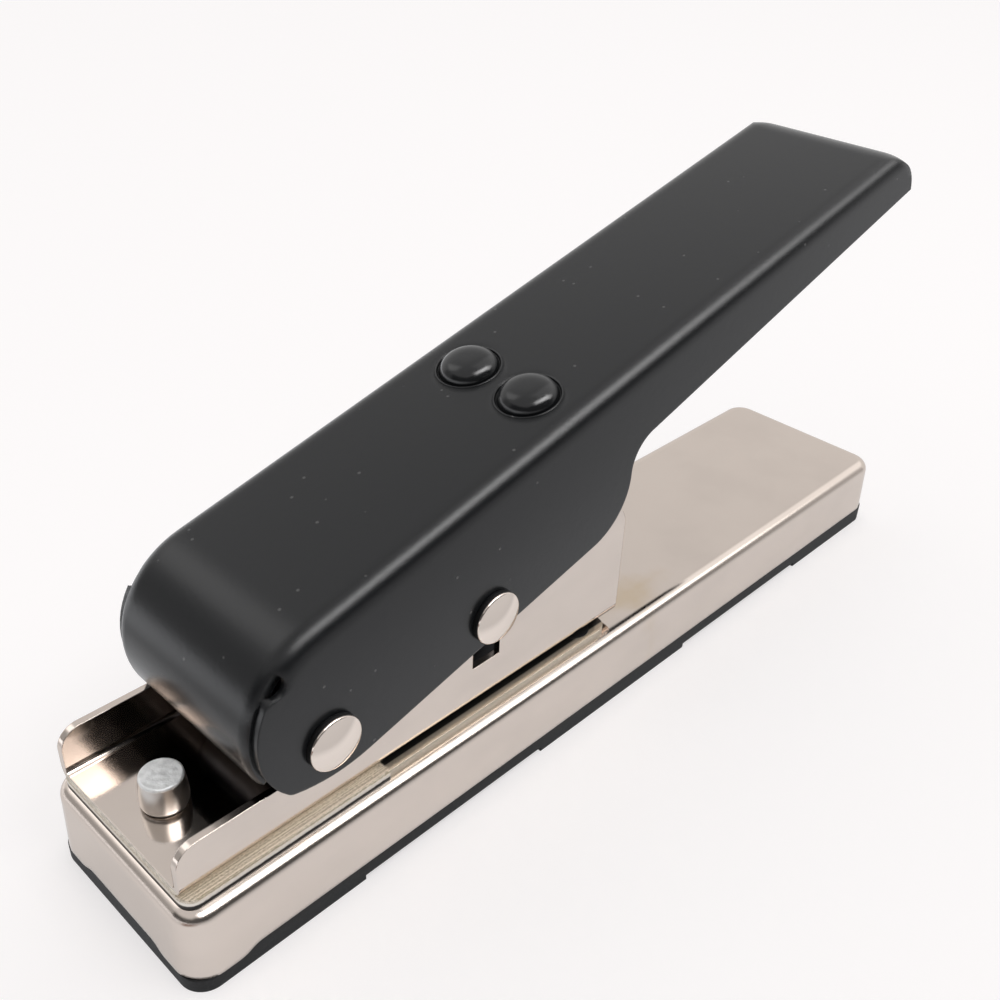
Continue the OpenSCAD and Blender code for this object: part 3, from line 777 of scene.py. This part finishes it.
def turned_mesh(
    name: str, radius: np.ndarray, height: np.ndarray, foot: Vector, axis: Vector, sides: int = 96
) -> bpy.types.Object:
    """Turns a profile round an axis.

    A point is the foot plus height times the axis plus radius times (cos a times one direction across
    the axis plus sin a times the other).

    Args:
        name: The piece's name.
        radius: The profile's distances from the axis, in metres.
        height: Its distances from the foot along the axis.
        foot: Where the axis starts.
        axis: The axis's direction, of length 1.
        sides: Points in a ring.

    Returns:
        The new object, linked into the scene.
    """
    across = axis.orthogonal().normalized()
    other = axis.cross(across)
    turn = np.linspace(0.0, 2.0 * math.pi, sides, endpoint=False)
    ring = np.cos(turn)[:, None] * np.array(across) + np.sin(turn)[:, None] * np.array(other)
    middle = np.array(foot) + height[:, None] * np.array(axis)
    return ring_mesh(name, middle[:, None, :] + radius[:, None, None] * ring)


@dataclass
class ReturnSpring:
    """One wound return spring between the guide plate and a stud, with closed ends."""

    node: str
    wire: float = 0.9 * MM
    open_turns: float = 8.0
    closed_turns: float = 1.25
    ease: float = 0.7
    nest: float = 1.02
    steps: int = 40
    sides: int = 14
    keep: float = 0.69

    def centre_line(self) -> Tuple[np.ndarray, np.ndarray]:
        """The helix and its outward directions.

        The angle grows evenly. The height is the sum of a rise in which the turns at both ends lie
        one wire apart and those between share the rest, eased into each other by smooth steps.

        Returns:
            Points of the centre line and the outward direction at each.
        """
        low, high = (np.array(c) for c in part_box(self.node))
        middle = (low + high) / 2
        radius = (high[1] - low[1] - self.wire) / 2
        turns = self.open_turns + 2 * self.closed_turns
        count = int(turns * self.steps) + 1
        t = np.linspace(0.0, turns, count)
        start = self.closed_turns - self.ease / 2
        rise = np.clip((t - start) / self.ease, 0, 1)
        fall = np.clip((turns - start - t) / self.ease, 0, 1)
        open_share = rise * rise * (3 - 2 * rise) * fall * fall * (3 - 2 * fall)
        tall = high[2] - low[2] - self.wire
        flat = self.nest * self.wire
        slope = flat + open_share * ((tall - flat * turns) / np.trapz(open_share, t))
        climb = np.concatenate([[0.0], np.cumsum((slope[1:] + slope[:-1]) / 2 * np.diff(t))])
        climb *= tall / climb[-1]
        angle = 2 * math.pi * t
        out = np.stack([np.cos(angle), np.sin(angle), np.zeros(count)], 1)
        line = np.stack([middle[0] + 0 * t, middle[1] + 0 * t, low[2] + self.wire / 2 + climb], 1)
        return line + radius * out, out

    def build(self) -> bpy.types.Object:
        """Makes the wire and dresses it.

        Returns:
            The finished piece.
        """
        line, out = self.centre_line()
        piece = tube_mesh(self.node + "_wire", line, out, np.full(len(line), self.wire / 2), self.sides)
        SPRING_WIRE.dress(piece)
        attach(piece, Body.BASE.value)
        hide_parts(self.node)
        low, high = (np.array(c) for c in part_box(self.node))
        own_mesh(piece)
        LOG.info("%s: %d points on its wire", piece.name, len(line))
        return piece


@dataclass
class TrayPost:
    """The post that stands in the tray: a barrel side drawn in at the foot, and a hammered end."""

    node: str = "tray_post"
    tall: float = 4.4 * MM
    more: float = 1.1 * MM
    end: float = 3.25 * MM
    belly: float = 3.62 * MM
    neck: float = 2.9 * MM
    tuck: float = 1.1 * MM
    chamfer: float = 0.35 * MM
    hammer: float = 0.06 * MM
    hammer_fade: float = 0.5 * MM
    touch: float = 0.001 * MM
    tail: float = 1.0 * MM
    tail_out: float = 1.0 * MM
    arc_points: int = 13
    side_points: int = 20
    end_rings: int = 26
    dents: Tuple[Tuple[float, float, float], ...] = (
        (1500.0, 2900.0, 0.0),
        (2300.0, -700.0, 1.0),
        (3700.0, 900.0, 2.0),
        (0.0, 3100.0, 0.0),
    )

    def profile(self, low: float, high: float) -> Tuple[np.ndarray, np.ndarray]:
        """The profile from the upset tail below to the middle of the end.

        The foot swells by a quarter ellipse from the neck to the belly, the side draws in from there to
        the end by a parabola, and the rim is a quarter circle.

        Args:
            low: Height of the tail's underside.
            high: Height of the end.

        Returns:
            Distances from the axis and heights.
        """
        quarter = np.linspace(0.0, math.pi / 2, self.arc_points)
        floor = high - self.tall - self.more
        swell = self.neck + (self.belly - self.neck) * np.sin(quarter)
        swell_at = floor + self.tuck * (1 - np.cos(quarter))
        share = np.linspace(0.0, 1.0, self.side_points)[1:-1]
        side = self.belly + (self.end - self.belly) * share ** 2
        side_at = floor + self.tuck + (high - self.chamfer - floor - self.tuck) * share
        rim = self.end - self.chamfer * (1 - np.cos(quarter))
        rim_at = high - self.chamfer * (1 - np.sin(quarter))
        inner = np.linspace(rim[-1], POLE * self.end, self.end_rings)[1:]
        wide = self.end + self.tail_out
        radius = np.concatenate([[wide, wide, self.neck], swell, side, rim, inner])
        below = [low, low + self.tail, low + self.tail]
        height = np.concatenate([below, swell_at, side_at, rim_at, np.full(len(inner), high)])
        return radius, height

    def hammered(self, points: np.ndarray, middle: np.ndarray, high: float) -> np.ndarray:
        """Dents the end.

        On the end the height falls by the hammer depth times two pairs of crossed sine waves, whose
        sum is brought between 0 and 1, and the dents fade out towards the rim. A wave has its numbers
        along x and y, in radians a metre, and its phase.

        Args:
            points: The post's points, one row each, in metres.
            middle: A point on the post's axis.
            high: Height of the end.

        Returns:
            How far each point falls.
        """
        x, y = points[:, 0] - middle[0], points[:, 1] - middle[1]
        sines = [np.sin(along * x + across * y + phase) for along, across, phase in self.dents]
        waves = sines[0] * sines[1] + sines[2] * sines[3]
        fade = np.clip((self.end - self.chamfer - np.hypot(x, y)) / self.hammer_fade, 0.0, 1.0)
        on_end = points[:, 2] > high - self.touch
        return np.where(on_end, self.hammer * fade * (0.5 + waves / 4), 0.0)

    def build(self) -> bpy.types.Object:
        """Turns the profile and hammers the end.

        Returns:
            The finished piece.
        """
        low, high = (np.array(c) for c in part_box(self.node))
        middle = (low + high) / 2
        end_at = float(high[2] + self.more)
        radius, height = self.profile(float(low[2]), end_at)
        foot = Vector((middle[0], middle[1], 0.0))
        piece = turned_mesh(self.node + "_turned", radius, height, foot, Vector((0.0, 0.0, 1.0)))
        flat = np.empty(3 * len(piece.data.vertices))
        piece.data.vertices.foreach_get("co", flat)
        points = flat.reshape(-1, 3)
        points[:, 2] -= self.hammered(points, middle, end_at)
        piece.data.vertices.foreach_set("co", points.ravel())
        piece.data.update()
        UpsetZinc("post_upset_zinc", end_at).dress(piece)
        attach(piece, Body.BASE.value)
        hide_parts(self.node)
        LOG.info("%s: %d rings", piece.name, len(radius))
        return piece


@dataclass
class Stud:
    """One black stud on the lever: a low dome inside a fine raised ring."""

    node: str
    along: float = 55.0 * MM
    radius: float = 4.85 * MM
    rise: float = 2.25 * MM
    flat: float = 0.66
    seat: float = 0.4 * MM
    ring: float = 5.38 * MM
    ring_wire: float = 0.16 * MM
    shank: float = 2.5 * MM
    tail: float = 3.5 * MM
    tail_depth: float = 2.0 * MM
    tail_thick: float = 0.8 * MM
    bead_below: float = 0.2 * math.pi
    bead_points: int = 13
    dome_end: float = 0.99 * math.pi / 2
    dome_rings: int = 40

    def profile(self) -> Tuple[np.ndarray, np.ndarray]:
        """The profile from the upset tail to the crown, measured from the lever's top.

        Ring: most of a small circle. Dome: the radius is the stud's times the cosine of an angle to a
        power, which flattens the crown, and the height is the sine's share of the rise.

        Returns:
            Distances from the axis and heights.
        """
        bead = np.linspace(-self.bead_below, math.pi + self.bead_below, self.bead_points)
        quarter = np.linspace(0.0, self.dome_end, self.dome_rings)
        radius = np.concatenate([
            [self.tail, self.tail, self.shank, self.shank, self.ring],
            self.ring + self.ring_wire * np.cos(bead),
            self.radius * np.cos(quarter) ** self.flat,
        ])
        tail_top = self.tail_thick - self.tail_depth
        height = np.concatenate([
            [-self.tail_depth, tail_top, tail_top, -self.seat, -self.seat],
            self.ring_wire * np.sin(bead),
            -self.seat + (self.rise + self.seat) * np.sin(quarter),
        ])
        return radius, height

    def build(self) -> bpy.types.Object:
        """Turns the profile about the lever's normal at the stud's place.

        Returns:
            The finished piece.
        """
        low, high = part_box(self.node)
        run = Vector((math.cos(LEVER_LEAN), 0.0, math.sin(LEVER_LEAN)))
        axis = Vector((-math.sin(LEVER_LEAN), 0.0, math.cos(LEVER_LEAN)))
        foot = PIVOT + self.along * run + LEVER_TOP * axis
        foot.y = (low[1] + high[1]) / 2
        radius, height = self.profile()
        piece = turned_mesh(self.node + "_turned", radius, height, foot, axis)
        BLACK_STUD.dress(piece)
        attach(piece, Body.LEVER.value)
        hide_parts(self.node)
        LOG.info("%s: %d rings", piece.name, len(radius))
        return piece


@dataclass
class PinHead:
    """A domed head standing proud of the flange, drawn over the head of a cross pin."""

    node: str
    side: int
    body: Body
    radius: float = 4.47 * MM
    head: float = 1.6 * MM
    stand: float = 0.9 * MM
    rim: float = 0.3 * MM
    dome: float = 0.85 * MM
    rim_points: int = 9
    dome_rings: int = 24

    def build(self) -> bpy.types.Object:
        """Turns the head about the pin's axis, outwards on its side.

        On a straight standing edge, the dome is a parabola that leaves the rim's arc at the arc's own
        slope.

        Returns:
            The finished piece.
        """
        low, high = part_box(self.node)
        face = abs(low[1] if self.side < 0 else high[1]) - self.head
        foot = Vector(((low[0] + high[0]) / 2, self.side * face, (low[2] + high[2]) / 2))
        lean = math.atan(2 * self.dome / (self.radius - self.rim))
        arc = np.linspace(0.0, math.pi / 2 - lean, self.rim_points)
        edge = self.radius - self.rim * (1 - np.cos(arc))
        rise = self.stand + self.rim * np.sin(arc)
        inner = np.linspace(edge[-1], POLE * self.radius, self.dome_rings)
        over = self.dome * (1.0 - (inner / edge[-1]) ** 2)
        radius = np.concatenate([[self.radius, self.radius], edge, inner[1:]])
        height = np.concatenate([[0.0, 0.5 * self.stand], rise, rise[-1] + over[1:]])
        name = "%s_head_%s" % (self.node, "near" if self.side < 0 else "far")
        piece = turned_mesh(name, radius, height, foot, Vector((0.0, float(self.side), 0.0)))
        HeadNickel("nickel_head_polished", edge_at=face + self.stand).dress(piece)
        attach(piece, self.body.value)
        LOG.info("%s: %d rings", piece.name, len(radius))
        return piece


@dataclass
class Floor:
    """A pale level sheet under the object.

    Its patches, in metres on the sheet, show only in reflections.
    """

    size: float = 6.0
    colour: Colour = (0.93, 0.915, 0.91)
    cloud: float = 0.985
    cloud_waves: float = 3.0
    glow: float = 0.58
    glow_tone: Colour = (1.0, 0.978, 0.982)
    lit_shade: float = 0.50
    mirror_lift: float = 0.02
    mirror_tone: Colour = (1.0, 1.02, 1.06)
    left_way: Tuple[float, float] = (-0.74, 0.67)
    left_glow: float = 0.8
    left: Patch = Patch((("left", 0.15, 0.24),))
    side_dusk: float = 0.24
    side: Patch = Patch((("y", -0.045, -0.070),))
    front: Patch = Patch((("x", -0.115, -0.135), ("left", 0.19, 0.15)))
    # Painted dark reflection: a brown patch of the floor, seen only in reflections, for the pan's near
    # front corner.
    dark_reflection_tone: Colour = (0.24, 0.13, 0.09)
    dark_reflection: Patch = Patch((
        ("x", -0.115, -0.130),
        ("x", -0.22, -0.19),
        ("y", -0.015, -0.030),
        ("y", -0.09, -0.07),
    ))

    def paper(self) -> bpy.types.Material:
        """The sheet's material: plain paper under the light, and pale where it is seen or mirrored.

        Returns:
            The material.
        """
        made = bpy.data.materials.new("floor_paper")
        made.use_nodes = True
        graph = Graph(made.node_tree)
        cloud = graph.noise(self.cloud_waves, 2.0)
        tint = graph.mix(cloud, self.colour, shade(self.colour, self.cloud))
        plain = graph.node("ShaderNodeBsdfDiffuse", {}, {"Color": tint})
        soft = rgba(shade(self.colour, self.lit_shade / self.colour[0]))
        lit = graph.node("ShaderNodeBsdfDiffuse", {}, {"Color": soft})
        glossy = graph.node("ShaderNodeLightPath", out="Is Glossy Ray")
        axes = {"x": graph.axis("X"), "y": graph.axis("Y")}
        axes["left"] = axes["x"] * self.left_way[0] + axes["y"] * self.left_way[1]
        beside = self.side.mask(axes).larger(self.front.mask(axes))
        glow = self._emit(graph, self.glow_tone, self.glow)
        for share, level in (
            (glossy, self.glow + self.mirror_lift),
            (beside * glossy, self.glow - self.side_dusk),
            (self.left.mask(axes) * glossy, self.glow + self.left_glow),
        ):
            other = self._emit(graph, self.mirror_tone, level)
            glow = graph.node("ShaderNodeMixShader", {}, {0: share, 1: glow, 2: other})
        lit = graph.node("ShaderNodeAddShader", {}, {0: lit, 1: glow})
        # Painted dark reflection: the brown patch takes the place of the lit floor in reflections.
        dark_reflection = self._emit(graph, self.dark_reflection_tone, 1.0)
        lit = graph.node("ShaderNodeMixShader", {}, {0: self.dark_reflection.mask(axes) * glossy, 1: lit, 2: dark_reflection})
        seen = graph.node("ShaderNodeLightPath", out="Is Camera Ray").larger(glossy)
        seen = seen.larger(graph.node("ShaderNodeLightPath", out="Is Transmission Ray"))
        both = graph.node("ShaderNodeMixShader", {}, {0: seen, 1: plain, 2: lit})
        graph.node("ShaderNodeOutputMaterial", {}, {"Surface": both})
        return made

    @staticmethod
    def _emit(graph: Graph, tone: Colour, level: float) -> Wire:
        """An even glow of one tone and level."""
        return graph.node("ShaderNodeEmission", {}, {"Color": rgba(tone), "Strength": level})

    def build(self) -> None:
        """Lays the sheet, from a grid of four corners."""
        half = self.size / 2
        corners = [(-half, -half, 0), (half, -half, 0), (half, half, 0), (-half, half, 0)]
        mesh = bpy.data.meshes.new("floor")
        mesh.from_pydata(corners, [], [(0, 1, 2, 3)])
        mesh.materials.append(self.paper())
        sheet = bpy.data.objects.new("floor", mesh)
        bpy.context.scene.collection.objects.link(sheet)
        LOG.info("floor: %.1f m", self.size)


@dataclass
class Studio:
    """The white sky, dim low down on the viewer's side, with soft panels, and one soft lamp.

    The sky's patches are given by the parts of a direction of length 1.
    """

    tone: Colour = (1.0, 0.99, 0.985)
    low: float = 0.97
    high: float = 0.83
    high_from: Fade = (0.35, 0.70)
    dusk: float = 0.88
    near: Patch = Patch((("y", -0.42, -0.56), ("z", 0.70, 0.58)))
    near_right: Patch = Patch((("x", 0.55, 0.85),))
    corner: Patch = Patch((("x", -0.50, -0.70), ("y", 0.55, 0.40), ("z", 0.60, 0.45)))
    left_dusk: float = 0.5
    left: Patch = Patch((("x", -0.30, -0.52), ("z", 0.60, 0.40)))
    strip_glow: float = 0.50
    strip: Patch = Patch((
        ("y", 0.30, 0.14),
        ("y", -0.46, -0.32),
        ("x", -0.05, 0.12),
        ("z", 0.40, 0.52),
    ))
    front_glow: float = 1.0
    front: Patch = Patch((
        ("y", 0.42, 0.50),
        ("x", 0.02, -0.18),
        ("x", -0.52, -0.40),
        ("z", 0.50, 0.60),
    ))
    panel_glow: float = 8.0
    panel: Patch = Patch((
        ("y", -0.34, -0.46),
        ("y", -0.71, -0.61),
        ("x", -0.40, -0.20),
        ("z", 0.45, 0.55),
    ))
    panel_right: Patch = Patch((("x", 0.35, 0.75),))
    right_fall: float = 0.6
    lamp_way: Tuple[float, float, float] = (0.22, -0.48, 0.85)
    lamp_size: Tuple[float, float] = (0.60, 0.25)
    lamp_power: float = 1.4
    lamp_far: float = 1.1

    def sky(self) -> None:
        """Paints the sky by direction; the panels show only in reflections."""
        world = bpy.data.worlds.new("studio")
        bpy.context.scene.world = world
        world.use_nodes = True
        graph = Graph(world.node_tree)
        way = graph.node("ShaderNodeTexCoord", out="Generated")
        axes = {
            name.lower(): graph.node("ShaderNodeSeparateXYZ", {}, {0: way}, out=name)
            for name in "XYZ"
        }
        near = self.near.mask(axes) * (1.0 - self.near_right.mask(axes) * self.right_fall)
        dim = near.larger(self.corner.mask(axes)) * self.dusk
        dim = dim.larger(self.left.mask(axes) * self.left_dusk)
        sky = axes["z"].step(*self.high_from) * (self.high - self.low) + self.low
        panel = self.panel.mask(axes) * (1.0 - self.panel_right.mask(axes) * self.right_fall)
        shine = self.strip.mask(axes) * self.strip_glow + panel * self.panel_glow
        shine = shine + self.front.mask(axes) * self.front_glow
        glossy = graph.node("ShaderNodeLightPath", out="Is Glossy Ray")
        seen = graph.node("ShaderNodeLightPath", out="Is Camera Ray")
        level = (sky * (1.0 - dim) + shine * glossy).larger(seen)
        back = graph.node("ShaderNodeBackground", {}, {"Color": rgba(self.tone), "Strength": level})
        graph.node("ShaderNodeOutputWorld", {}, {"Surface": back})

    def lamp(self) -> None:
        """Hangs the lamp over the near side, facing the object."""
        light = bpy.data.lights.new("lamp_over", "AREA")
        light.shape = "RECTANGLE"
        light.size, light.size_y = self.lamp_size
        light.energy = self.lamp_power
        holder = bpy.data.objects.new("lamp_over", light)
        bpy.context.scene.collection.objects.link(holder)
        holder.location = Vector(self.lamp_way).normalized() * self.lamp_far
        holder.rotation_euler = holder.location.to_track_quat("Z", "Y").to_euler()


@dataclass
class Eye:
    """The camera at the photograph's viewpoint, with angles in degrees."""

    azimuth: float = -46.915
    elevation: float = 32.931
    roll: float = 2.539
    at: Tuple[float, float, float] = (-134.04 * MM, -112.80 * MM, 147.08 * MM)
    focal_px: float = 1163.9
    picture_px: float = 1000.0
    sensor: float = 36.0
    nearest: float = 0.01

    def build(self) -> None:
        """Sets the camera; azimuth 0 looks along +Y, and the roll turns the picture."""
        az, el, roll = (math.radians(angle) for angle in (self.azimuth, self.elevation, self.roll))
        back = Vector((math.cos(el) * math.sin(az), -math.cos(el) * math.cos(az), math.sin(el)))
        level = Vector((math.cos(az), math.sin(az), 0.0))
        rise = back.cross(level)
        right = math.cos(roll) * level + math.sin(roll) * rise
        up = math.cos(roll) * rise - math.sin(roll) * level
        lens = bpy.data.cameras.new("eye")
        lens.sensor_width = self.sensor
        lens.lens = self.focal_px * self.sensor / self.picture_px
        lens.clip_start = self.nearest
        eye = bpy.data.objects.new("eye", lens)
        bpy.context.scene.collection.objects.link(eye)
        turn = Matrix((right, up, back)).transposed().to_4x4()
        eye.matrix_world = Matrix.Translation(Vector(self.at)) @ turn
        bpy.context.scene.camera = eye


def dress_solids() -> None:
    """Gives every CAD node that stays in view its finish."""
    for node, finish in DRESS.items():
        finish.dress(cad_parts[node])
        LOG.info("%s: %s", node, finish.name)


def main() -> None:
    """Builds the scene in order."""
    logging.basicConfig(level=logging.INFO)
    Eye().build()
    Floor().build()
    studio = Studio()
    studio.sky()
    studio.lamp()
    dress_solids()
    for node in ("return_spring_left", "return_spring_right"):
        ReturnSpring(node).build()
    TrayPost().build()
    for node in ("stud_left", "stud_right"):
        Stud(node).build()
    for pin, body in (("pivot", Body.BASE), ("drive", Body.LEVER)):
        PinHead(pin + "_pin", -1, body).build()
        PinHead(pin + "_cap", 1, body).build()
    view = bpy.context.scene.view_settings
    view.view_transform = "Standard"


if __name__ == "__main__":
    main()
